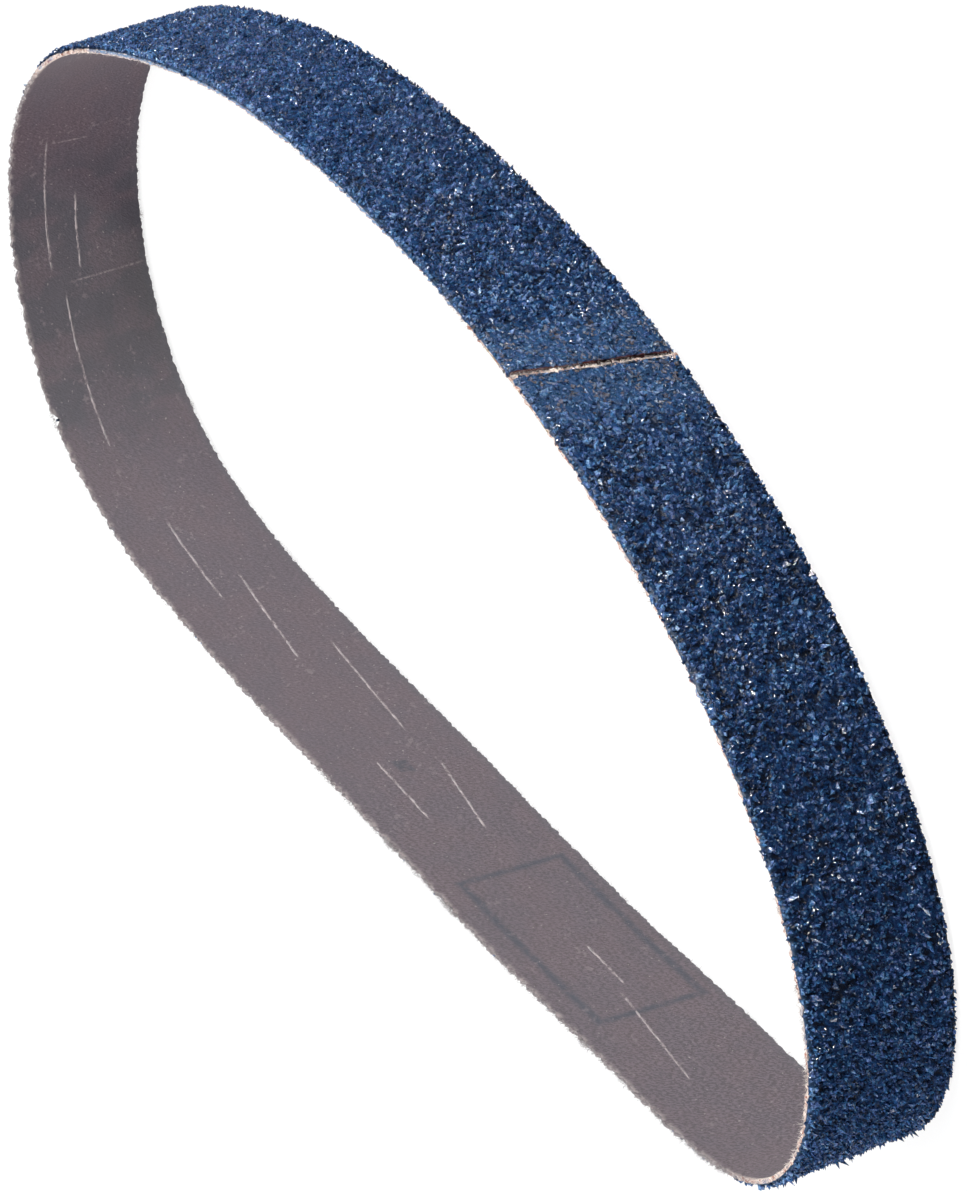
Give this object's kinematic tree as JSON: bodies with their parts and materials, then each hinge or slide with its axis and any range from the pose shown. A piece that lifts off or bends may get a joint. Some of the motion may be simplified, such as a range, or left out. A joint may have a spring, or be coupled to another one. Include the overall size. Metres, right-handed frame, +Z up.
{
  "type": "sanding belt",
  "caption": "Narrow cloth-backed sanding belt with coarse blue grain, standing on its edge as an open, elongated loop with a slanted butt splice.",
  "frame": {"origin": "centre of the bounding box at its base, on the surface that the belt's lower edge stands on", "axes": "+X along the loop's long axis, +Z up across the belt's width, -Y towards the side that carries the splice"},
  "size_m": [0.2144, 0.1004, 0.02],
  "materials": {
    "woven_cloth": "woven twill, mauve grey, sized and matt",
    "blue_grain": "coarse broken grain in tinted resin, with bright facets",
    "tape_film": "thin tan splice film, satin"
  },
  "bodies": {
    "root": {"cloth_backing": "woven_cloth", "abrasive_coat": "blue_grain", "splice_tape": "tape_film"}
  },
  "joints": []
}
